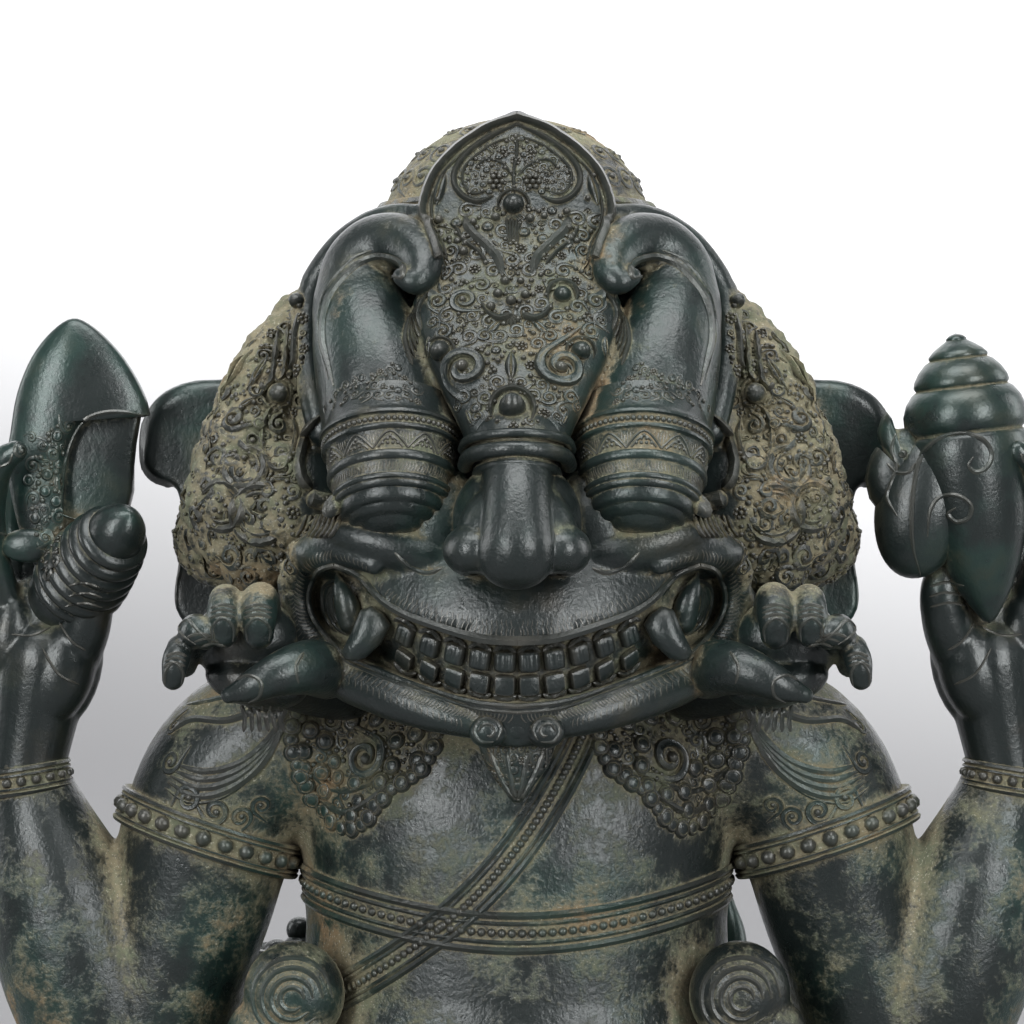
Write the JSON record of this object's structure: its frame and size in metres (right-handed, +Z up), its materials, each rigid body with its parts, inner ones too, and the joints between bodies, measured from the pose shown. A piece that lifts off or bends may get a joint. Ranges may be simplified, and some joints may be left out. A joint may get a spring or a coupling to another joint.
{
  "type": "ganesha statue",
  "caption": "Seated four-armed elephant-headed deity in cast bronze with a guardian face on its back, holding an axe and a conch, on a low lotus base.",
  "frame": {"origin": "on the floor, under the middle of the whole part's box", "axes": "+Z up; the guardian face looks along -Y and the elephant face along +Y; the axe is on the -X side and the conch on the +X side"},
  "size_m": [0.9522, 0.7326, 1.1001],
  "materials": {
    "dark_bronze": "dark green-black patina with tan dust in the carving and worn gloss on the high parts",
    "dusty_bronze": "dark green-grey patina, dustier and duller than the figure"
  },
  "bodies": {
    "root": {"ganesha_figure": "dark_bronze", "lotus_base": "dusty_bronze"}
  },
  "joints": []
}
